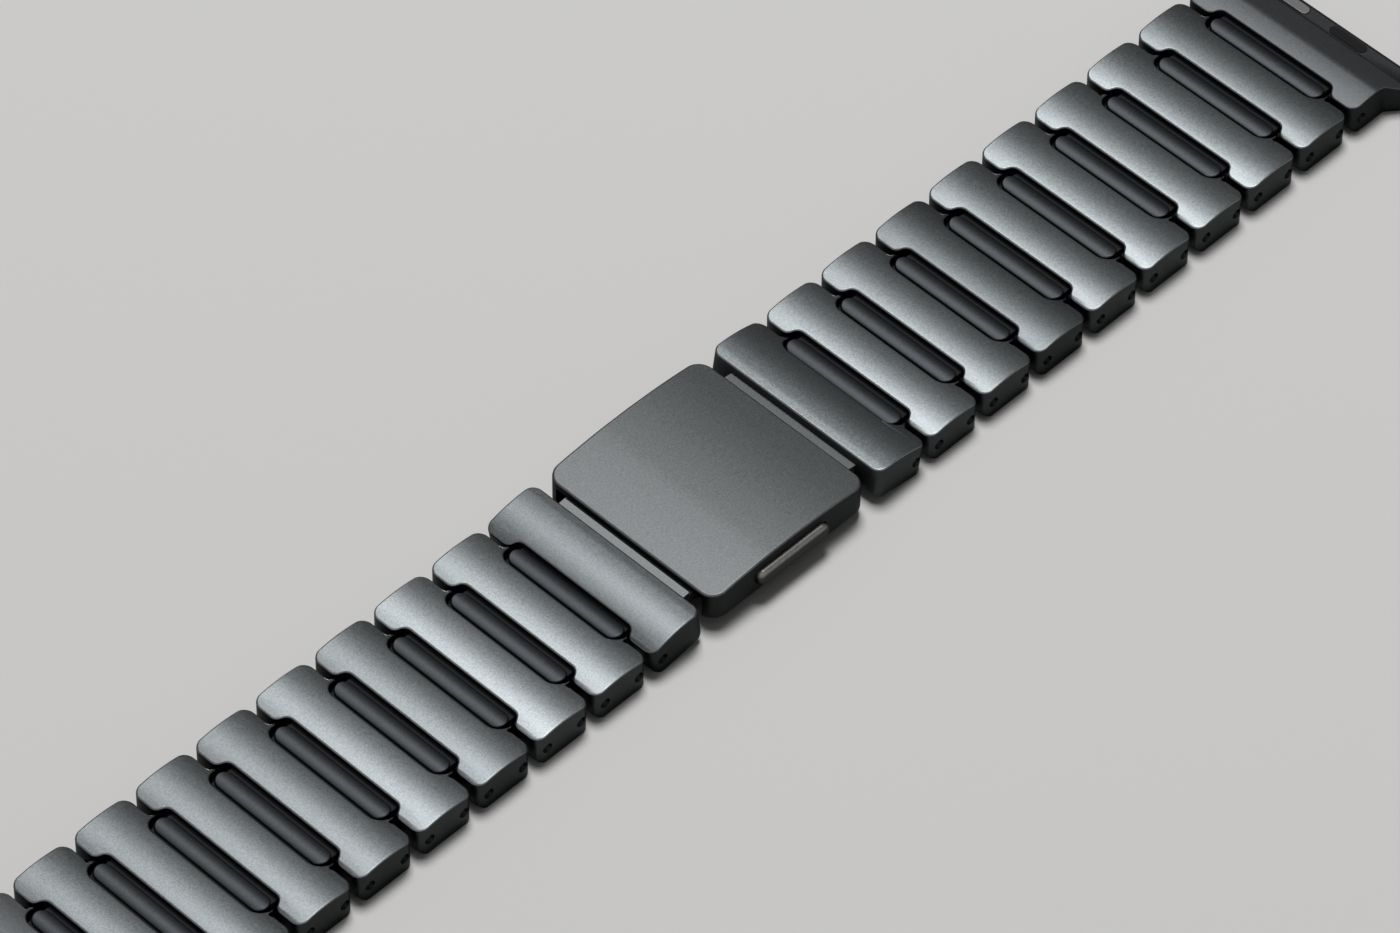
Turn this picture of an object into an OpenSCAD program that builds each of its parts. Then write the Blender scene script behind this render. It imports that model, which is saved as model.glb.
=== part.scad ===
// Watch bracelet of titanium links with a folding clasp, lying flat with its outer side up.
// X runs along the band, Y across it and Z up. The origin is on the ground under the clasp's centre.

/* [Links] */
// Width of the links across the band
band_w = 22; // [18:0.5:26]
// Length of one link along the band
link_l = 6.8; // [6.6:0.1:8]
// Gap between two neighbouring links
link_gap = 0.65; // [0.5:0.05:0.9]
// Links on each side of the clasp
links_per_side = 9; // [6:1:11]
// Height of a link's top edges over its underside
edge_h = 3.4; // [3.2:0.1:4]
// Rise of the crowned top over its edges
crown_rise = 0.41; // [0.2:0.01:0.6]
// Corner radius of a link seen from above
plan_r = 1.1; // [0.5:0.1:1.6]
// Radius of the lower edges that run across the band
bottom_r = 1.2; // [0.8:0.1:1.5]

/* [Notches and pill bars] */
// Straight length of the notch in a link's edge
notch_flat = 13.5; // [10:0.1:14]
// Length over which each end of the notch sweeps out to the edge
notch_run = 1.7; // [1.4:0.1:2.2]
// Width of the pill bar between two links
pill_w = 2.1; // [1.8:0.05:2.4]
// Length of the pill bar
pill_l = 14.3; // [12:0.1:14.6]
// Height of the pill bar's crest
pill_h = 3.3; // [3.1:0.05:3.6]
// Rise of the pill bar's domed top
pill_dome = 0.22; // [0.1:0.01:0.3]
// Gap all round the pill bar
seat_gap = 0.42; // [0.35:0.01:0.5]
// Height from which a link's horns reach round the pill bar's ends
horn_h = 2.3; // [2.2:0.1:2.8]

/* [Link joints] */
// Diameter of the link pins
pin_d = 1; // [0.8:0.05:1.1]
// Height of the link pins over the underside
pin_h = 1.75; // [1.6:0.05:1.9]
// Distance of a link's pin from its end
pin_inset = 1.25; // [1.2:0.05:1.4]
// Depth of the pin ends below the side faces
pin_recess = 0.4; // [0.2:0.1:1]
// Radial clearance of a pin that turns in its bore
turn_gap = 0.05; // [0.02:0.01:0.1]
// Radial clearance of a pin that stays in its bore
grip_gap = 0.02; // [0.01:0.01:0.03]
// Diameter of the connectors' knuckles
knuckle_d = 2.3; // [2:0.1:2.4]
// Clearance round a knuckle in its link
knuckle_gap = 0.25; // [0.15:0.05:0.3]
// Length of a connector's base across the band
connector_l = 13.8; // [11:0.1:13.9]
// Height of a connector's underside
connector_h = 0.6; // [0.5:0.05:0.8]

/* [First links] */
// Gap between the clasp's end and the first link's top edge
clasp_gap = 1.45; // [1:0.05:1.6]
// Length of a first link along the band
first_l = 6.65; // [6.5:0.05:6.8]
// Tilt of the first links, up towards the clasp
first_tilt = 8.5; // [6:0.5:9]
// Thickness of the tongue
tongue_t = 1.2; // [0.9:0.1:1.3]
// Length of the raised step on the tongue, outside the clasp
step_l = 1.1; // [0.8:0.05:1.1]
// Height of the step over the first link's underside
step_h = 2.5; // [2.2:0.05:2.6]
// Height of the tongue's pin over the first link's underside
tongue_h = 1.5; // [1.45:0.05:1.6]
// Diameter of the tongue's boss
boss_d = 2; // [1.8:0.1:2.2]
// Distance of the tongue's pin from the clasp's end
tongue_inset = 1.25; // [1.2:0.05:1.5]

/* [Clasp cover] */
// Length of the cover along the band
cover_l = 20.6; // [20:0.1:24]
// Corner radius of the cover seen from above
cover_r = 1.7; // [1:0.1:2.5]
// Height of the top edges at the cover's ends
cover_edge_h = 4.2; // [4.1:0.05:4.6]
// Rise of the cover's arch over its ends
cover_arch = 0.75; // [0.5:0.05:1.2]
// Height of the cover's lower rim
cover_rim_h = 1.2; // [1:0.1:1.4]
// Thickness of the cover's top
cover_skin = 0.6; // [0.4:0.05:0.7]
// Thickness of the cover's side walls
cover_wall = 1.5; // [1.2:0.1:1.6]
// Thickness of the cover's end lips
end_lip_t = 0.5; // [0.4:0.05:0.6]
// Height of the slots for the tongues in the end lips
slot_h = 3.45; // [3.4:0.05:3.6]

/* [Clasp blades] */
// Thickness of the two folding blades
blade_t = 0.8; // [0.6:0.05:0.85]
// Gap between the folded blades
blade_gap = 0.2; // [0.15:0.05:0.25]
// Room between the lower blade and each side of the cover, for a push button's works
button_room = 4.2; // [4.1:0.1:5]
// Diameter of the blades' hinge knuckles
blade_knuckle_d = 1.7; // [1.6:0.05:1.8]
// Diameter of the blades' hinge pins
blade_pin_d = 0.9; // [0.7:0.05:1]
// Place along the band of the hinge between cover and upper blade
cover_hinge_x = 6.2; // [5:0.1:6.5]
// Height of the hinge between cover and upper blade
cover_hinge_h = 2.2; // [2:0.05:2.3]
// Place along the band of the hinge between the blades
blade_hinge_x = -6.5; // [-7.5:0.1:-6]
// Height of the hinge between the blades
blade_hinge_h = 0.95; // [0.9:0.01:1]
// Width of the upper blade's knuckle between the lower blade's knuckles
mid_knuckle_w = 8.2; // [5:0.1:9]
// Side clearance between knuckles, lugs and ears
side_gap = 0.2; // [0.1:0.05:0.3]
// Thickness of the ears and lugs that hold the pins
ear_t = 1; // [0.8:0.1:1.1]
// Diameter of the ears that hold the right tongue's pin
ear_d = 1.9; // [1.7:0.1:2]

/* [Push buttons] */
// Length of a push button along the band
button_l = 9.4; // [7:0.1:10]
// Height of a push button
button_w = 1.8; // [1.6:0.1:2]
// Height of the push buttons' centre line
button_h = 2.75; // [2.7:0.05:2.9]
// How far a push button stands proud of the cover
button_proud = 0.7; // [0.6:0.05:1]
// Clearance round a push button in its window
button_gap = 0.1; // [0.05:0.01:0.15]
// Thickness of the flange that keeps a push button in
flange_t = 0.6; // [0.4:0.05:0.7]
// How far the flange reaches past each end of the button
flange_lap = 0.7; // [0.4:0.1:1]
// How far the flange reaches past the button above and below
flange_rise = 0.2; // [0.15:0.05:0.25]
// Length of a button spring
button_spring_l = 1; // [0.9:0.05:1.1]
// Outer diameter of a button spring
button_spring_d = 1.8; // [1.4:0.1:2]
// Wall of the springs
spring_wall = 0.35; // [0.25:0.05:0.4]
// Distance of the catches from the clasp's centre
catch_x = 3.5; // [3:0.1:4]
// Length of a catch on the lower blade
catch_l = 1.8; // [1.2:0.1:2]
// How far a catch stands out from the lower blade
catch_reach = 0.8; // [0.5:0.05:0.85]
// Height of the catches
catch_h = 1.6; // [1.2:0.05:1.7]

/* [End links] */
// Length of an end link to the nose of its lug
end_l = 9; // [8.6:0.1:11]
// Width of the lug that slides into the watch case
lug_w = 24.4; // [23:0.1:28]
// Height of the lug's flat top
lug_h = 2.75; // [2.6:0.05:3]
// Diameter of the lug's rounded nose
nose_d = 2.85; // [2.8:0.05:3]
// Corner radius of the lug seen from above
lug_corner_r = 0.8; // [0.4:0.1:1.2]
// Distance from the end to the crease in the top
crease_x = 3.8; // [3.4:0.1:4.2]
// Distance from the end to where the sides flare out
flare_x = 4.6; // [4:0.1:5]
// Length of the flare
flare_l = 1.5; // [1:0.1:1.8]
// Length of the latch bar and the pad
pad_l = 4.6; // [3:0.1:5]
// Width of the latch bar and the pad
pad_w = 1.1; // [0.8:0.05:1.2]
// Distance of the latch bar and the pad from the band's centre line
pad_y = 3.75; // [3:0.05:6]
// How far the latch bar and the pad stand proud of the lug
pad_proud = 0.1; // [0.05:0.01:0.15]
// Flat rim between the slope and the latch bar
pad_margin = 0.3; // [0.2:0.05:0.5]
// Depth of the latch bar and the pad
pad_t = 1; // [0.8:0.05:1.1]
// Clearance round the latch bar
latch_gap = 0.06; // [0.04:0.01:0.1]
// Height of the floor of the latch bar's pocket
latch_floor_h = 0.9; // [0.8:0.05:1]
// Outer diameter of the latch spring
latch_spring_d = 0.9; // [0.8:0.05:1]

/* [Hidden] */
$fn = 64;
SIDES = ["r", "l"];

TITANIUM = [0.33, 0.34, 0.35];
TITANIUM_LIGHT = [0.5, 0.5, 0.5];
PILL = [0.24, 0.25, 0.28];
STEEL = [0.72, 0.72, 0.72];
RUBBER = [0.1, 0.1, 0.11];

past = 1;                 // how far a cut runs past the faces it opens
arc_steps = 4;            // straight pieces in each arc of a notch's sweep
half_w = band_w / 2;
cover_half = cover_l / 2;

// Notch and seat, which follow from the pill bar and the gap between the links
seat_r = pill_w / 2 + seat_gap;
notch_depth = seat_r - link_gap / 2;
notch_half = notch_flat / 2;
sweep_r = (notch_depth * notch_depth + notch_run * notch_run) / (4 * notch_depth);
sweep_angle = 2 * atan(notch_depth / notch_run);
crown_r = (link_l * link_l / 4 + crown_rise * crown_rise) / (2 * crown_rise);
top_h = edge_h + crown_rise;
pin_half = half_w - pin_recess;
base_half = connector_l / 2;
pin_span = 2 * pin_inset + link_gap;
pitch = link_l + link_gap;

// Places along the right side of the band
first_cut = link_l - first_l;
pin_reach = link_l - pin_inset;
first_run = (first_l - pin_inset) * cos(first_tilt) - (edge_h - pin_h) * sin(first_tilt);
first_pin_x = cover_half + clasp_gap + first_run;
tongue_x = cover_half - tongue_inset;
tongue_drop = tongue_h - pin_h;
tongue_arm = (first_pin_x - tongue_x + tongue_drop * sin(first_tilt)) / cos(first_tilt);
tongue_reach = tongue_arm - pin_reach;
tongue_pin_h = pin_h + tongue_arm * sin(first_tilt) + tongue_drop * cos(first_tilt);
second_x = first_pin_x + pin_inset + link_gap;
function link_x(k) = second_x + (k - 2) * pitch;
function connector_x(k) = link_x(k + 1) - link_gap / 2;
end_x = link_x(links_per_side + 1);

// Clasp: the cover is as wide as the links, the upper blade lies between the cover's lugs and the
// right tongue between the lower blade's ears
cover_w = band_w;
cavity_half = cover_w / 2 - cover_wall;
lower_blade_w = cover_w - 2 * button_room;
upper_blade_w = lower_blade_w - 2 * side_gap;
arch_r = (cover_half * cover_half + cover_arch * cover_arch) / (2 * cover_arch);
arch_centre_h = cover_edge_h + cover_arch - arch_r;
blade_pin_half = lower_blade_w / 2;
lug_inner = lower_blade_w / 2 + side_gap;
upper_blade_h = blade_t + blade_gap;
ear_outer = cavity_half - side_gap;
ear_inner = ear_outer - ear_t;
tongue_w = 2 * (ear_inner - side_gap);
band_pin_half = cover_w / 2 - pin_recess - side_gap;
flange_outer = cavity_half - button_gap;
flange_inner = flange_outer - flange_t;
post_face = flange_inner - button_spring_l;

// Arc points: centre, radius, start and end angle
function arc(c, r, a0, a1) =
    [for (i = [0 : arc_steps]) let (a = a0 + (a1 - a0) * i / arc_steps) c + r * [cos(a), sin(a)]];

// One end of a notch: from the link's edge at x = 0 in to the notch's floor
sweep = concat(
    arc([sweep_r, notch_half + notch_run], sweep_r, 180, 180 + sweep_angle),
    arc([notch_depth - sweep_r, notch_half], sweep_r, sweep_angle, 0));
far_sweep = [for (i = [len(sweep) - 1 : -1 : 0]) [sweep[i][0], -sweep[i][1]]];

// Flat outline of a notch in an edge at x = 0, running out past the edge
module notch_outline() {
    out_y = notch_half + notch_run;
    polygon(concat([[-past, out_y]], sweep, far_sweep, [[-past, -out_y]]));
}

// Rounded rectangle from x = 0 to l, centred on Y
module rounded_plan(l, w, r) {
    translate([r, -w / 2]) square([l - 2 * r, w]);
    translate([0, -w / 2 + r]) square([l, w - 2 * r]);
    for (x = [r, l - r], y = [-w / 2 + r, w / 2 - r]) translate([x, y]) circle(r);
}

// Bar with round ends along Y, centred
module stadium(l, w) {
    square([w, l - w], center = true);
    for (s = [-1, 1]) translate([0, s * (l - w) / 2]) circle(w / 2);
}

// Flat outline in X and Z, swept across the band
module across(w) {
    rotate([90, 0, 0]) linear_extrude(w, center = true) children();
}

// Round bar across the band, centred on Y
module bar(x, z, d, w) {
    translate([x, 0, z]) rotate([90, 0, 0]) cylinder(d = d, h = w, center = true);
}

// Block given by its lowest and highest corner
module block(low, high) {
    translate(low) cube(high - low);
}

// The same piece on both sides of the band
module both_sides() {
    for (s = [0, 1]) mirror([0, s, 0]) children();
}

// Side outline of a link: rounded below, open above
module link_side(l, h) {
    translate([bottom_r, 0]) square([l - 2 * bottom_r, h]);
    translate([0, bottom_r]) square([l, h - bottom_r]);
    for (x = [bottom_r, l - bottom_r]) translate([x, bottom_r]) circle(bottom_r);
}

// Cylinder whose upper side is the links' crown
module crown(w) {
    translate([link_l / 2, 0, top_h - crown_r])
        rotate([90, 0, 0]) cylinder(r = crown_r, h = w, center = true, $fn = 256);
}

// Link without its joints, from x0 to x1
module link_blank(x0, x1) {
    intersection() {
        translate([x0, 0, 0]) linear_extrude(top_h) rounded_plan(x1 - x0, band_w, plan_r);
        translate([x0, 0, 0]) across(band_w) link_side(x1 - x0, top_h);
        crown(band_w);
    }
}

// Horns that fill the next link's notch round the pill bar's ends
module horns() {
    intersection() {
        translate([link_l, 0, horn_h]) linear_extrude(top_h - horn_h) notch_outline();
        crown(band_w);
    }
}

// Room for a pill bar in the edge at x, seen from above
module seat_cut(x) {
    translate([x, 0, -past]) linear_extrude(top_h + 2 * past)
        stadium(pill_l + 2 * seat_gap, 2 * seat_r);
}

// Room for a connector's knuckle at x, open below and towards the end that side points to
module knuckle_cut(x, side) {
    r = knuckle_d / 2 + knuckle_gap;
    w = connector_l + 2 * knuckle_gap;
    bar(x, pin_h, 2 * r, w);
    translate([x, 0, 0]) mirror([side < 0 ? 1 : 0, 0, 0]) {
        block([0, -w / 2, -past], [pin_inset + past, w / 2, pin_h + r]);
        block([-r, -w / 2, -past], [past, w / 2, pin_h]);
    }
}

// Notched end at x = 0 and seated end at x = link_l. A first link is plain and shorter at one end.
module link(notched = true, seated = true) {
    difference() {
        union() {
            link_blank(notched ? 0 : first_cut, seated ? link_l : first_l);
            if (seated) horns();
        }
        if (notched) {
            translate([0, 0, -past]) linear_extrude(top_h + 2 * past) notch_outline();
            knuckle_cut(pin_inset, -1);
            bar(pin_inset, pin_h, pin_d + 2 * turn_gap, band_w + past);
        }
        if (seated) {
            seat_cut(link_l + link_gap / 2);
            knuckle_cut(link_l - pin_inset, 1);
            bar(link_l - pin_inset, pin_h, pin_d + 2 * turn_gap, band_w + past);
        }
    }
}

// Tongue on a first link's plain end, reaching towards the clasp, with a raised step outside it
module tongue() {
    half_tongue = tongue_w / 2;
    difference() {
        union() {
            block([-tongue_reach, -half_tongue, tongue_h - tongue_t / 2],
                  [past, half_tongue, tongue_h + tongue_t / 2]);
            block([first_cut - step_l, -half_tongue, tongue_h], [past, half_tongue, step_h]);
            bar(-tongue_reach, tongue_h, boss_d, tongue_w);
        }
        bar(-tongue_reach, tongue_h, pin_d + 2 * turn_gap, tongue_w + past);
    }
}

// Puts a first link in place: its outer pin at the first connector, its inner end lifted
module tilted_first() {
    translate([first_pin_x, 0, pin_h]) rotate([0, first_tilt, 0])
        translate([-pin_reach, 0, -pin_h]) children();
}

module first_link_right() {
    tilted_first() {
        link(notched = false);
        tongue();
    }
}

module first_link_left() {
    mirror([1, 0, 0]) tilted_first() {
        translate([link_l, 0, 0]) mirror([1, 0, 0]) link(seated = false);
        tongue();
    }
}

// Links on the right have their notch towards the clasp, and those on the left away from it
module band_link(side, k) {
    color(TITANIUM) {
        if (k == 1 && side == "r") first_link_right();
        if (k == 1 && side == "l") first_link_left();
        if (k > 1 && side == "r") translate([link_x(k), 0, 0]) link();
        if (k > 1 && side == "l") translate([-link_x(k) - link_l, 0, 0]) link();
    }
}

// Pill bar on a base with two knuckles, bored for the pins
module connector_bar() {
    difference() {
        union() {
            for (s = [-1, 1]) bar(s * pin_span / 2, pin_h, knuckle_d, connector_l);
            block([-pin_span / 2, -base_half, connector_h], [pin_span / 2, base_half, pin_h + knuckle_d / 2]);
            pill();
        }
        for (s = [-1, 1]) bar(s * pin_span / 2, pin_h, pin_d + 2 * grip_gap, connector_l + past);
    }
}

module pill() {
    dome_r = (pill_w * pill_w / 4 + pill_dome * pill_dome) / (2 * pill_dome);
    intersection() {
        translate([0, 0, pin_h]) linear_extrude(pill_h - pin_h) stadium(pill_l, pill_w);
        bar(0, pill_h - dome_r, 2 * dome_r, pill_l);
    }
}

// Connector k lies outside link k, with its two pins
module connector(side, k) {
    translate([side == "r" ? connector_x(k) : -connector_x(k), 0, 0]) {
        color(PILL) connector_bar();
        color(STEEL) for (s = [-1, 1]) bar(s * pin_span / 2, pin_h, pin_d, 2 * pin_half);
    }
}

// Side outline of an end link before the crown and the slope are cut: round nose at the lug's end
module end_side() {
    translate([bottom_r, 0]) square([nose_x - bottom_r, top_h]);
    translate([0, bottom_r]) square([nose_x, top_h - bottom_r]);
    translate([bottom_r, bottom_r]) circle(bottom_r);
    translate([nose_x, nose_d / 2]) circle(nose_d / 2);
}
nose_x = end_l - nose_d / 2;
crease_h = top_h - crown_r + sqrt(crown_r * crown_r - pow(crease_x - link_l / 2, 2));

// Everything above the slope from the crease and above the lug's flat top
module slope_cut() {
    slope_x = pad_x - pad_w / 2 - pad_margin;
    rise = past * (crease_h - lug_h) / (slope_x - crease_x);
    across(lug_w + past)
        polygon([[crease_x - past, crease_h + rise], [slope_x, lug_h], [end_l + past, lug_h],
                 [end_l + past, top_h + past], [crease_x - past, top_h + past]]);
}

// End link seen from above: the band's width, flaring out to the lug's width
module end_plan() {
    lug_x = flare_x + flare_l;
    rounded_plan(lug_x, band_w, plan_r);
    translate([lug_x, -lug_w / 2]) square([end_l - lug_x - lug_corner_r, lug_w]);
    translate([lug_x, -lug_w / 2 + lug_corner_r]) square([end_l - lug_x, lug_w - 2 * lug_corner_r]);
    for (s = [-1, 1]) translate([end_l - lug_corner_r, s * (lug_w / 2 - lug_corner_r)]) circle(lug_corner_r);
    polygon([[bottom_r + plan_r, 0], [flare_x, -half_w], [lug_x, -lug_w / 2], [end_l - lug_corner_r, 0],
             [lug_x, lug_w / 2], [flare_x, half_w]]);
}

// Pocket in the lug's top, with its floor at the given height
module lug_pocket(y, floor_h, gap) {
    translate([pad_x, y, floor_h]) linear_extrude(top_h) stadium(pad_l + 2 * gap, pad_w + 2 * gap);
}
pad_x = nose_x - pad_w / 8;
pad_floor_h = lug_h + pad_proud - pad_t;

// End link from its notched or seated end at x = 0 to the lug's nose
module end_link(seated) {
    difference() {
        union() {
            intersection() {
                linear_extrude(top_h) end_plan();
                across(lug_w) end_side();
                crown(lug_w);
            }
            if (seated) translate([link_l, 0, 0]) mirror([1, 0, 0]) horns();
        }
        slope_cut();
        if (seated) seat_cut(-link_gap / 2);
        if (!seated) translate([0, 0, -past]) linear_extrude(top_h + 2 * past) notch_outline();
        knuckle_cut(pin_inset, -1);
        bar(pin_inset, pin_h, pin_d + 2 * turn_gap, band_w + past);
        lug_pocket(-pad_y, pad_floor_h, 0);
        lug_pocket(pad_y, latch_floor_h, latch_gap);
    }
}

// The right end link's frame, and the same on the left
module at_end(side) {
    mirror([side == "l" ? 1 : 0, 0, 0]) translate([end_x, 0, 0]) children();
}

module lug_bar(y) {
    translate([pad_x, y, pad_floor_h]) linear_extrude(pad_t) stadium(pad_l, pad_w);
}

module lug_latch(side) {
    color(STEEL) at_end(side) lug_bar(pad_y);
}

module friction_pad(side) {
    color(RUBBER) at_end(side) lug_bar(-pad_y);
}

module latch_spring(side) {
    color(STEEL) at_end(side) translate([pad_x, pad_y, latch_floor_h])
        sleeve(latch_spring_d, pad_floor_h - latch_floor_h);
}

// Spring as a sleeve along Z
module sleeve(d, l) {
    difference() {
        cylinder(d = d, h = l);
        translate([0, 0, -past]) cylinder(d = d - 2 * spring_wall, h = l + 2 * past);
    }
}

// Space under the arch, to a depth below the cover's outer face
module under_arch(depth, w) {
    translate([0, 0, arch_centre_h])
        rotate([90, 0, 0]) cylinder(r = arch_r - depth, h = w, center = true, $fn = 256);
}

// Shell of the cover: arched top, side walls and end lips over the tongues' slots
module cover_shell() {
    difference() {
        intersection() {
            translate([-cover_half, 0, cover_rim_h]) linear_extrude(top_reach)
                rounded_plan(cover_l, cover_w, cover_r);
            under_arch(0, cover_w);
        }
        intersection() {
            block([end_lip_t - cover_half, -cavity_half, 0],
                  [cover_half - end_lip_t, cavity_half, top_reach]);
            under_arch(cover_skin, cover_w);
        }
        block([-cover_half - past, -cavity_half, 0], [cover_half + past, cavity_half, slot_h]);
    }
}
top_reach = cover_edge_h + cover_arch;

// Lugs for the blade's hinge and posts behind the button springs, up to the cover's top
module cover_fittings() {
    r = blade_knuckle_d / 2;
    intersection() {
        under_arch(cover_skin / 2, cover_w);
        both_sides() {
            translate([cover_hinge_x, 0, cover_hinge_h]) {
                translate([0, lug_inner + ear_t, 0]) rotate([90, 0, 0]) cylinder(r = r, h = ear_t);
                block([-r, lug_inner, 0], [r, lug_inner + ear_t, top_reach]);
            }
            block([-button_spring_d, lug_inner, button_h - button_spring_d / 2],
                  [button_spring_d, post_face, top_reach]);
        }
    }
}

module clasp_cover() {
    window_l = button_l + 2 * button_gap;
    window_w = button_w + 2 * button_gap;
    color(TITANIUM) difference() {
        union() {
            cover_shell();
            cover_fittings();
        }
        bar(cover_hinge_x, cover_hinge_h, blade_pin_d + 2 * grip_gap, 2 * (lug_inner + ear_t) + past);
        bar(-tongue_x, tongue_pin_h, pin_d + 2 * grip_gap, 2 * band_pin_half);
        translate([0, 0, button_h]) rotate([90, 90, 0]) linear_extrude(cover_w + past, center = true)
            stadium(window_l, window_w);
    }
}

// Blade hinged to the cover on the right and to the lower blade on the left
module clasp_blade_upper() {
    r = blade_knuckle_d / 2;
    color(TITANIUM_LIGHT) difference() {
        union() {
            block([blade_hinge_x + r + side_gap, -upper_blade_w / 2, upper_blade_h],
                  [cover_hinge_x, upper_blade_w / 2, upper_blade_h + blade_t]);
            bar(cover_hinge_x, cover_hinge_h, blade_knuckle_d, upper_blade_w);
            bar(blade_hinge_x, blade_hinge_h, blade_knuckle_d, mid_knuckle_w);
            block([blade_hinge_x, -mid_knuckle_w / 2, upper_blade_h],
                  [blade_hinge_x + 2 * r, mid_knuckle_w / 2, upper_blade_h + blade_t]);
        }
        bar(cover_hinge_x, cover_hinge_h, blade_pin_d + 2 * turn_gap, upper_blade_w + past);
        bar(blade_hinge_x, blade_hinge_h, blade_pin_d + 2 * turn_gap, mid_knuckle_w + past);
    }
}

// Blade that lies on the wrist, with ears for the right tongue's pin and catches for the buttons
module clasp_blade_lower() {
    r = blade_knuckle_d / 2;
    knuckle_inner = mid_knuckle_w / 2 + side_gap;
    half_blade = lower_blade_w / 2;
    color(TITANIUM_LIGHT) difference() {
        union() {
            block([blade_hinge_x + r + side_gap, -half_blade, 0], [tongue_x, half_blade, blade_t]);
            block([tongue_x - ear_d / 2, -ear_outer, 0], [tongue_x + ear_d / 2, ear_outer, blade_t]);
            both_sides() {
                translate([blade_hinge_x, blade_pin_half, blade_hinge_h]) rotate([90, 0, 0])
                    cylinder(r = r, h = blade_pin_half - knuckle_inner);
                block([blade_hinge_x, knuckle_inner, 0], [blade_hinge_x + 2 * r, blade_pin_half, blade_t]);
                translate([tongue_x, ear_outer, tongue_pin_h])
                    rotate([90, 0, 0]) cylinder(d = ear_d, h = ear_t);
                block([tongue_x - ear_d / 2, ear_inner, 0], [tongue_x + ear_d / 2, ear_outer, tongue_pin_h]);
                for (s = [-1, 1]) translate([s * catch_x - catch_l / 2, half_blade, 0]) {
                    block([0, -past, 0], [catch_l, catch_reach, blade_t]);
                    block([0, 0, 0], [catch_l, catch_reach, catch_h]);
                }
            }
        }
        bar(blade_hinge_x, blade_hinge_h, blade_pin_d + 2 * grip_gap, lower_blade_w + past);
        bar(tongue_x, tongue_pin_h, pin_d + 2 * grip_gap, cover_w);
    }
}

module cover_hinge_pin() {
    color(STEEL) bar(cover_hinge_x, cover_hinge_h, blade_pin_d, 2 * (lug_inner + ear_t));
}

module blade_hinge_pin() {
    color(STEEL) bar(blade_hinge_x, blade_hinge_h, blade_pin_d, lower_blade_w);
}

module band_pin_right() {
    color(STEEL) bar(tongue_x, tongue_pin_h, pin_d, 2 * ear_outer);
}

module band_pin_left() {
    color(STEEL) bar(-tongue_x, tongue_pin_h, pin_d, 2 * (band_pin_half - grip_gap));
}

// Button on the far side: oblong cap, flange behind the wall, arms down to the catches
module push_button() {
    face_y = cover_w / 2 + button_proud;
    flange_half_l = button_l / 2 + flange_lap;
    flange_half_w = button_w / 2 + flange_rise;
    color(TITANIUM) {
        translate([0, (flange_inner + face_y) / 2, button_h]) rotate([90, 90, 0])
            linear_extrude(face_y - flange_inner, center = true) stadium(button_l, button_w);
        translate([0, 0, button_h])
            block([-flange_half_l, flange_inner, -flange_half_w],
                  [flange_half_l, flange_outer, flange_half_w]);
        for (s = [-1, 1]) translate([s * catch_x - catch_l / 2, 0, 0])
            block([0, flange_inner, blade_t + blade_gap], [catch_l, flange_outer, button_h]);
    }
}

module button_spring() {
    color(STEEL) translate([0, post_face, button_h]) rotate([-90, 0, 0])
        sleeve(button_spring_d, button_spring_l);
}

module push_button_far() { push_button(); }
module push_button_near() { mirror([0, 1, 0]) push_button(); }
module button_spring_far() { button_spring(); }
module button_spring_near() { mirror([0, 1, 0]) button_spring(); }

for (s = SIDES, k = [1 : links_per_side]) {
    band_link(s, k);
    connector(s, k);
}
color(TITANIUM) at_end("r") end_link(seated = false);  // end_link_right
color(TITANIUM) at_end("l") end_link(seated = true);  // end_link_left
lug_latch("r");  // lug_latch_right
lug_latch("l");  // lug_latch_left
latch_spring("r");  // latch_spring_right
latch_spring("l");  // latch_spring_left
friction_pad("r");  // friction_pad_right
friction_pad("l");  // friction_pad_left
clasp_cover();
clasp_blade_upper();
clasp_blade_lower();
cover_hinge_pin();
blade_hinge_pin();
band_pin_right();
band_pin_left();
push_button_near();
push_button_far();
button_spring_near();
button_spring_far();
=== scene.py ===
import math

import bpy
from mathutils import Matrix, Vector

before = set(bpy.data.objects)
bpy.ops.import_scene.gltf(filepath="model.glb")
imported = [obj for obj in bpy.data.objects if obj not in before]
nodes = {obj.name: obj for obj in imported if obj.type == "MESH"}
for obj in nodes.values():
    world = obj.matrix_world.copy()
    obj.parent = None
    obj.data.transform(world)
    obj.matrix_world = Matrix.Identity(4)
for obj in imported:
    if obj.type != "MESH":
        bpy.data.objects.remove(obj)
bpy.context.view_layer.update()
MM = 0.001

# Camera: azimuth 0 looks along +Y, and the target lies on the floor
IMAGE_W = 1400
SENSOR_MM = 36.0
FOCAL_PX = 8257.5
CAMERA_DISTANCE = 774.1 * MM
CAMERA_AZIMUTH = -46.10
CAMERA_ELEVATION = 48.99
CAMERA_ROLL = 0.786
CAMERA_TARGET = Vector((3.28, 4.02, 0.0)) * MM
NEAREST_SEEN, FARTHEST_SEEN = 0.01, 20.0


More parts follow.
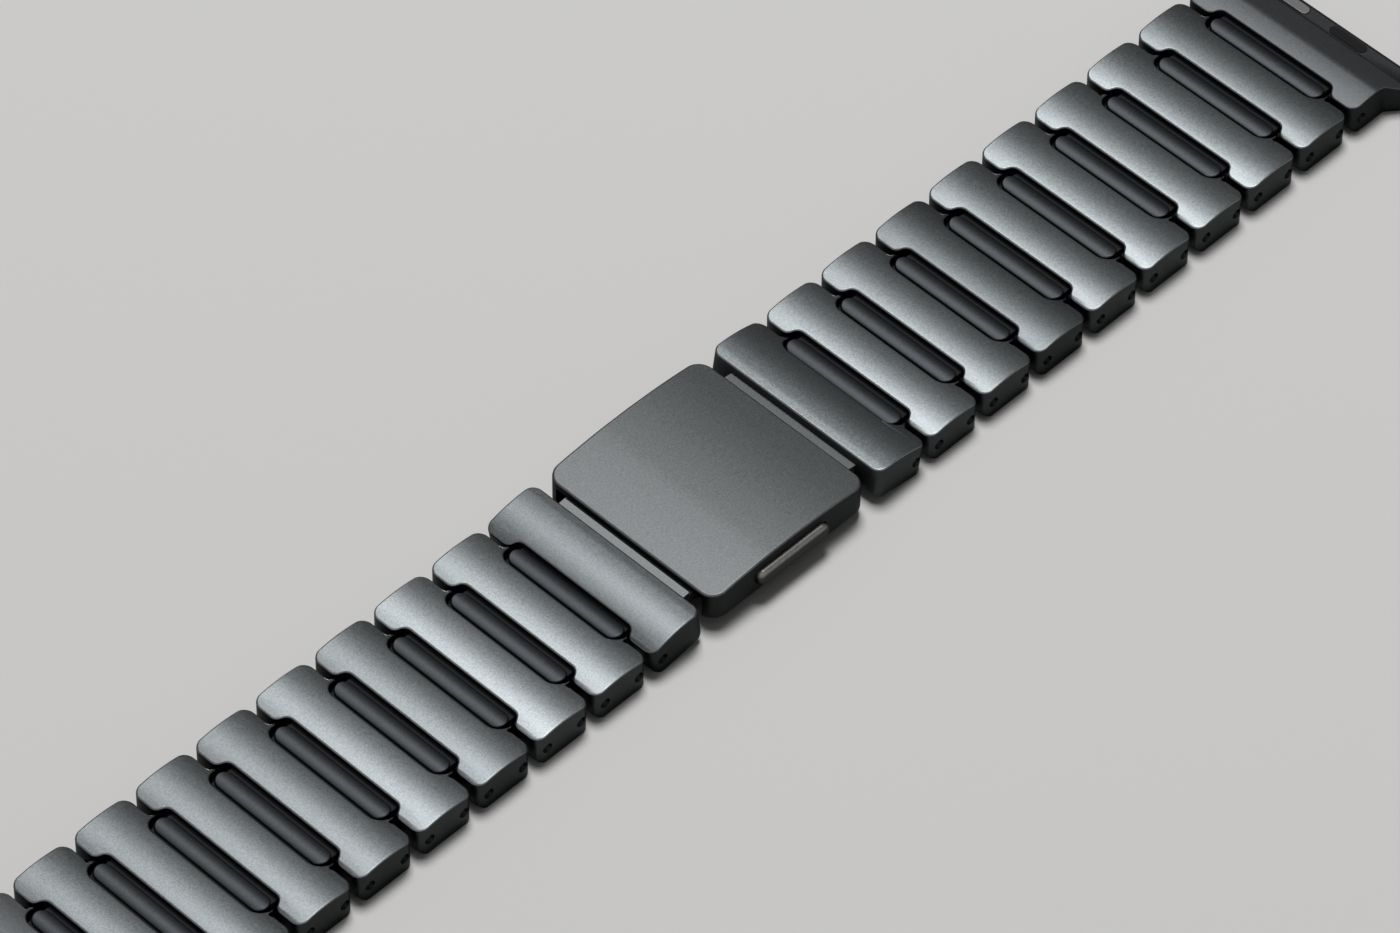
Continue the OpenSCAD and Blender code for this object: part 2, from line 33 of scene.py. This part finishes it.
def add_camera():
    azimuth, elevation = math.radians(CAMERA_AZIMUTH), math.radians(CAMERA_ELEVATION)
    ahead = math.cos(elevation)
    forward = Vector((-math.sin(azimuth) * ahead, math.cos(azimuth) * ahead, -math.sin(elevation)))
    level = Vector((math.cos(azimuth), math.sin(azimuth), 0))
    upright = level.cross(forward)
    roll = math.radians(CAMERA_ROLL)
    right = level * math.cos(roll) + upright * math.sin(roll)
    up = upright * math.cos(roll) - level * math.sin(roll)
    data = bpy.data.cameras.new("camera")
    data.sensor_width = SENSOR_MM
    data.lens = FOCAL_PX * SENSOR_MM / IMAGE_W
    data.clip_start = NEAREST_SEEN
    data.clip_end = FARTHEST_SEEN
    camera = bpy.data.objects.new("camera", data)
    bpy.context.scene.collection.objects.link(camera)
    turn = Matrix((right, up, -forward)).transposed().to_4x4()
    camera.matrix_world = Matrix.Translation(CAMERA_TARGET - forward * CAMERA_DISTANCE) @ turn
    bpy.context.scene.camera = camera


# Light: one softbox high up beyond the band, and an even dim room
SOFTBOX_CENTRE = Vector((0.31, 0.335, 1.60))
SOFTBOX_SIZE = (0.52, 0.60)
SOFTBOX_WATTS = 26.5
ROOM_LEVEL = 0.13
# The backdrop behind the floor as the camera sees it, and as the metal mirrors it
BACKDROP_LEVEL = 0.8
MIRRORED_LEVEL = 1.5
# The mirrored backdrop is pale, but dark around the direction that the links' tops mirror to the camera
DARK_DIRECTION = (0.47, 0.455, 0.755)
DARK_WITHIN = math.radians(48)
PALE_BEYOND = math.radians(84)


def add_softbox():
    data = bpy.data.lights.new("softbox", "AREA")
    data.shape = "RECTANGLE"
    data.size, data.size_y = SOFTBOX_SIZE
    data.energy = SOFTBOX_WATTS
    lamp = bpy.data.objects.new("softbox", data)
    bpy.context.scene.collection.objects.link(lamp)
    lamp.location = SOFTBOX_CENTRE
    lamp.rotation_euler = (-SOFTBOX_CENTRE).to_track_quat("-Z", "Y").to_euler()


def node_of(tree, kind, **values):
    """Adds a shader node with the given values in its inputs."""
    made = tree.nodes.new(kind)
    for key, value in values.items():
        made.inputs[key].default_value = value
    return made


def arithmetic(tree, operation, *values):
    """Adds a Math node, whose inputs are numbers or sockets, and returns its output."""
    made = tree.nodes.new("ShaderNodeMath")
    made.operation = operation
    for socket, value in zip(made.inputs, values):
        if isinstance(value, bpy.types.NodeSocket):
            tree.links.new(value, socket)
        else:
            socket.default_value = value
    return made.outputs["Value"]


def spread_range(tree, value, source, target):
    """Maps a socket's value from the source range to the target range, and returns the output."""
    made = tree.nodes.new("ShaderNodeMapRange")
    for key, number in zip(("From Min", "From Max", "To Min", "To Max"), (*source, *target)):
        made.inputs[key].default_value = number
    tree.links.new(value, made.inputs["Value"])
    return made.outputs["Result"]


def add_world():
    """An even dim room lights the object, and the camera and the metal's reflections see a pale backdrop."""
    world = bpy.data.worlds.new("room")
    world.use_nodes = True
    tree = world.node_tree
    place = tree.nodes.new("ShaderNodeTexCoord")
    towards = tree.nodes.new("ShaderNodeVectorMath")
    towards.operation = "DOT_PRODUCT"
    towards.inputs[1].default_value = Vector(DARK_DIRECTION).normalized()
    tree.links.new(place.outputs["Generated"], towards.inputs[0])
    mirrored = spread_range(tree, towards.outputs["Value"], (math.cos(PALE_BEYOND), math.cos(DARK_WITHIN)),
                            (MIRRORED_LEVEL - ROOM_LEVEL, 0.0))
    path = tree.nodes.new("ShaderNodeLightPath")
    seen = arithmetic(tree, "MULTIPLY", path.outputs["Is Camera Ray"], BACKDROP_LEVEL - ROOM_LEVEL)
    shown = arithmetic(tree, "MULTIPLY", path.outputs["Is Glossy Ray"], mirrored)
    level = arithmetic(tree, "ADD", arithmetic(tree, "ADD", seen, shown), ROOM_LEVEL)
    tree.links.new(level, tree.nodes["Background"].inputs["Strength"])
    tree.nodes["Background"].inputs["Color"].default_value = (1, 1, 1, 1)
    bpy.context.scene.world = world


# Materials
USUAL_SPECULAR = 0.5
WEAK_SPECULAR = 0.15
FAINT_SPECULAR = 0.1


def new_material(name, color, metallic, roughness, specular=USUAL_SPECULAR):
    """Makes a material of even colour, and returns it with its shader."""
    material = bpy.data.materials.new(name)
    material.use_nodes = True
    shader = material.node_tree.nodes["Principled BSDF"]
    shader.inputs["Base Color"].default_value = (*color, 1)
    shader.inputs["Metallic"].default_value = metallic
    shader.inputs["Roughness"].default_value = roughness
    shader.inputs["Specular IOR Level"].default_value = specular
    return material, shader


def plain(name, color, metallic, roughness, specular=USUAL_SPECULAR):
    return new_material(name, color, metallic, roughness, specular)[0]


FLOOR_SIZE = 6.0
FLOOR_PAPER = plain("floor_paper", (0.56, 0.555, 0.545), 0.0, 0.9, FAINT_SPECULAR)


def add_floor():
    bpy.ops.mesh.primitive_plane_add(size=FLOOR_SIZE, location=(0, 0, 0))
    floor = bpy.context.object
    floor.name = "floor"
    floor.data.materials.append(FLOOR_PAPER)


# Blasted metal: the middle part of the noise's range goes to these ranges of tone and gloss
NOISE_MIDDLE = (0.3, 0.7)
GRAIN_TONES = (0.8, 1.2)
GRAIN_GLOSS = 0.02
GRAIN_DETAIL = 2.0
DENT_DETAIL = 1.0
NOISE_ROUGHNESS = 0.6
DENT_SIZE = 0.06 * MM
DENT_DEPTH = DENT_SIZE / 8
# The usual size of the grain in mm, and the usual strength of the dents
USUAL_GRAIN = 0.16
USUAL_DENTS = 0.3
# Faces that look sideways get painted shade, a darker colour, and the metal is darker at a grazing look
SIDE_FACING = (0.35, 0.85)
SIDE_PAINTED_SHADE = 0.3
EDGE_TINT = 0.6


def noise(tree, size, detail):
    """Adds noise of the given grain size over the piece, and returns its value."""
    place = tree.nodes.new("ShaderNodeTexCoord")
    made = node_of(tree, "ShaderNodeTexNoise", Scale=1 / size, Detail=detail, Roughness=NOISE_ROUGHNESS)
    tree.links.new(place.outputs["Object"], made.inputs["Vector"])
    return made.outputs["Fac"]


def blasted(name, color, roughness, grain=USUAL_GRAIN, dents=USUAL_DENTS):
    """Bead-blasted metal, with grain of the given size in mm, dents of the given strength and painted shade
    on the sides.
    """
    material, shader = new_material(name, color, 1.0, roughness)
    tree = material.node_tree
    shader.inputs["Specular Tint"].default_value = (EDGE_TINT, EDGE_TINT, EDGE_TINT, 1)
    fine = noise(tree, grain * MM, GRAIN_DETAIL)
    place = tree.nodes.new("ShaderNodeTexCoord")
    facing = tree.nodes.new("ShaderNodeSeparateXYZ")
    tree.links.new(place.outputs["Normal"], facing.inputs["Vector"])
    level = arithmetic(tree, "ABSOLUTE", facing.outputs["Z"])
    # Painted shade: the colour darkens on faces that look sideways
    painted_side_shade = spread_range(tree, level, SIDE_FACING, (SIDE_PAINTED_SHADE, 1.0))
    grained = spread_range(tree, fine, NOISE_MIDDLE, GRAIN_TONES)
    tone = node_of(tree, "ShaderNodeHueSaturation", Color=(*color, 1))
    tree.links.new(arithmetic(tree, "MULTIPLY", painted_side_shade, grained), tone.inputs["Value"])
    tree.links.new(tone.outputs["Color"], shader.inputs["Base Color"])
    gloss = spread_range(tree, fine, NOISE_MIDDLE, (roughness - GRAIN_GLOSS, roughness + GRAIN_GLOSS))
    tree.links.new(gloss, shader.inputs["Roughness"])
    bump = node_of(tree, "ShaderNodeBump", Strength=dents, Distance=DENT_DEPTH)
    tree.links.new(noise(tree, DENT_SIZE, DENT_DETAIL), bump.inputs["Height"])
    tree.links.new(bump.outputs["Normal"], shader.inputs["Normal"])
    return material


TITANIUM_COLOR = (0.138, 0.150, 0.155)
TITANIUM_ROUGHNESS = 0.35


def titanium(tone):
    color = tuple(part * tone for part in TITANIUM_COLOR)
    return blasted("blasted_titanium_painted_light_%d" % round(100 * tone), color, TITANIUM_ROUGHNESS)


# Painted light: these links' colour is darkened as painted shade or lightened as painted highlight, where
# the real ones catch a little less or more of the light than the others
PAINTED_LIGHT_TONES = {"link_r3": 0.9, "link_r4": 0.65, "link_r5": 0.9, "link_r9": 0.8, "link_l1": 0.65, "link_l3": 1.15,
         "link_l4": 0.85, "link_l6": 0.8, "link_l7": 0.8, "link_l8": 0.8, "link_l9": 0.8}
LINK = {tone: titanium(tone) for tone in (1.0, *sorted(set(PAINTED_LIGHT_TONES.values())))}
# The end links' colour is darker than the other links', as painted shade
END_PAINTED_SHADE = blasted("end_titanium_painted_shade", (0.073, 0.077, 0.080), 0.50)
# The lugs' colour is darker still, as more painted shade
LUG_PAINTED_SHADE = blasted("lug_titanium_painted_shade", (0.026, 0.028, 0.030), 0.50)
COVER = blasted("cover_titanium", (0.080, 0.085, 0.087), 0.45)
# The push buttons' colour is lighter than the titanium's, as a painted highlight on their rounded rims
BUTTON_PAINTED_HIGHLIGHT = blasted("button_painted_highlight", (0.150, 0.148, 0.140), 0.42)
PILL = blasted("pill_titanium", (0.032, 0.035, 0.038), 0.45, 0.14, 0.25)
TONGUE = blasted("tongue_titanium", (0.14, 0.148, 0.15), 0.60, 0.14)
BLADE = blasted("brushed_blade", (0.30, 0.30, 0.30), 0.30, 0.12, 0.2)
# Painted shade: the connectors' base and knuckles down in the seats are near black
RECESS_PAINTED_SHADE = plain("recess_painted_shade", (0.022, 0.023, 0.025), 1.0, 0.75)
STEEL = plain("pin_steel", (0.42, 0.42, 0.41), 1.0, 0.35)
LATCH = plain("latch_steel", (0.13, 0.13, 0.13), 1.0, 0.4)
# Painted shade: the connectors' steel pins are near black, as their ends sit in the links' shaded sides
LINK_PIN_PAINTED_SHADE = plain("link_pin_painted_shade", (0.05, 0.05, 0.05), 1.0, 0.45)
RUBBER = plain("pad_rubber", (0.006, 0.006, 0.007), 0.0, 0.8, WEAK_SPECULAR)


def material_for(name):
    if name.startswith("connector"):
        return PILL
    if "pad" in name:
        return RUBBER
    if name.startswith("lug_latch"):
        return LATCH
    if "spring" in name or "_pin" in name:
        return STEEL
    if "blade" in name:
        return BLADE
    if "button" in name:
        return BUTTON_PAINTED_HIGHLIGHT
    if name == "clasp_cover":
        return COVER
    if name.startswith("end_link"):
        return END_PAINTED_SHADE
    return LINK[PAINTED_LIGHT_TONES.get(name, 1.0)]


# Edges: the rims of the tops are rounded, and the edges of the small parts slightly broken
PLAIN_EDGE = 0.05
EDGE_STEPS = 4
BROKEN_ANGLE = math.radians(28)
SHARP_ANGLE = math.radians(35)
UP = Vector((0, 0, 1))
NEAR = Vector((0, -1, 0))
# For each kind of piece: the width of its rims in mm, the way they look, and how far out they begin in mm
RIMS = {
    "link": (0.17, UP, 3.1),
    "connector": (0.16, UP, 2.9),
    "clasp_cover": (0.24, UP, 4.1),
    "end_link": (0.14, UP, 2.9),
    "push_button_near": (0.6, NEAR, 11.6),
    "push_button_far": (0.6, -NEAR, 11.6),
}
# How much the two faces beside a rim look that way: one at least this much, the other at most this much
FACES_OUT, FACES_ASIDE = 0.9, 0.5
SAME_SPOT = 0.01 * MM
WELD_WITHIN = 0.001 * MM
FLAT_WITHIN = math.radians(1.6)


def mark_rims(mesh, outward, start):
    """Weights the rims of the faces in the first material, and sharpens the other corners."""
    def spot(vertex):
        return tuple(round(c / SAME_SPOT) for c in mesh.vertices[vertex].co)

    def key(a, b):
        return frozenset((spot(a), spot(b)))

    sides = {}
    for face in mesh.polygons:
        for pair in face.edge_keys:
            sides.setdefault(key(*pair), []).append(face)
    weights = mesh.attributes.new("bevel_weight_edge", "FLOAT", "EDGE")
    for edge in mesh.edges:
        faces = sides[key(*edge.vertices)]
        far_out = min(mesh.vertices[v].co.dot(outward) for v in edge.vertices) > start * MM
        top = any(face.normal.dot(outward) > FACES_OUT and face.material_index == 0 for face in faces)
        aside = any(face.normal.dot(outward) < FACES_ASIDE for face in faces)
        rim = far_out and top and aside
        weights.data[edge.index].value = float(rim)
        steep = len(faces) == 2 and faces[0].normal.angle(faces[1].normal) > SHARP_ANGLE
        edge.use_edge_sharp = steep and not rim


def soften(obj, width):
    """Joins the faces of each flat, and rounds the weighted edges or, without weights, all steep ones."""
    weld = obj.modifiers.new("weld", "WELD")
    weld.merge_threshold = WELD_WITHIN
    flat = obj.modifiers.new("flat", "DECIMATE")
    flat.decimate_type = "DISSOLVE"
    flat.angle_limit = FLAT_WITHIN
    flat.delimit = {"MATERIAL"}
    bevel = obj.modifiers.new("edge", "BEVEL")
    bevel.width = width * MM
    bevel.segments = EDGE_STEPS
    bevel.loop_slide = False
    if "bevel_weight_edge" in obj.data.attributes:
        bevel.limit_method = "WEIGHT"
        bevel.use_clamp_overlap = False
    else:
        bevel.limit_method = "ANGLE"
        bevel.angle_limit = BROKEN_ANGLE
    normals = obj.modifiers.new("normals", "WEIGHTED_NORMAL")
    normals.mode = "FACE_AREA"
    normals.keep_sharp = True
    obj.data.shade_smooth()


def dress_edges(name, obj):
    kinds = [kind for kind in RIMS if name.startswith(kind)]
    if kinds:
        width, outward, start = RIMS[kinds[0]]
        mark_rims(obj.data, outward, start)
        soften(obj, width)
    else:
        soften(obj, PLAIN_EDGE)


# The first links have a lighter finish on their tongues and inner faces, but not on their tops
TONGUE_X = 11.92 * MM
TOP_Z = 4.2 * MM


def dress_tongue(obj):
    obj.data.materials.append(TONGUE)
    for face in obj.data.polygons:
        low = min(obj.data.vertices[v].co.z for v in face.vertices)
        if abs(face.center.x) < TONGUE_X and 0 < low < TOP_Z:
            face.material_index = 1


# The lugs, from the foot of the slope to the nose, are painted darker still, as painted shade
LUG_X = 84.9 * MM


def dress_end(obj):
    obj.data.materials.append(LUG_PAINTED_SHADE)
    for face in obj.data.polygons:
        if min(abs(obj.data.vertices[v].co.x) for v in face.vertices) > LUG_X:
            face.material_index = 1


# The connectors: base and knuckles down in the seats painted near black as painted shade, steel pins painted
# dark as painted shade, and a lighter pill bar on top
PILL_SLOT, BASE_SLOT, PIN_SLOT = 0, 1, 2
PILL_FROM_Z = 2.93 * MM
PIN_Z = 1.75 * MM
PIN_OFFSET = 1.575 * MM
PIN_REACH = 0.52 * MM


def dress_connector(obj):
    obj.data.materials.append(RECESS_PAINTED_SHADE)
    obj.data.materials.append(LINK_PIN_PAINTED_SHADE)
    vertices = obj.data.vertices
    middle = sum((v.co for v in vertices), Vector()) / len(vertices)
    for face in obj.data.polygons:
        from_pin = abs(abs(face.center.x - middle.x) - PIN_OFFSET)
        if max(vertices[v].co.z for v in face.vertices) > PILL_FROM_Z:
            face.material_index = PILL_SLOT
        elif from_pin < PIN_REACH and abs(face.center.z - PIN_Z) < PIN_REACH:
            face.material_index = PIN_SLOT
        else:
            face.material_index = BASE_SLOT


def dress_node(name, obj):
    obj.data.materials.clear()
    obj.data.materials.append(material_for(name))
    if name in ("link_r1", "link_l1"):
        dress_tongue(obj)
    if name.startswith("end_link"):
        dress_end(obj)
    if name.startswith("connector"):
        dress_connector(obj)
    dress_edges(name, obj)


add_camera()
add_softbox()
add_world()
add_floor()
for node_name, node in nodes.items():
    dress_node(node_name, node)
bpy.context.scene.view_settings.view_transform = "Standard"
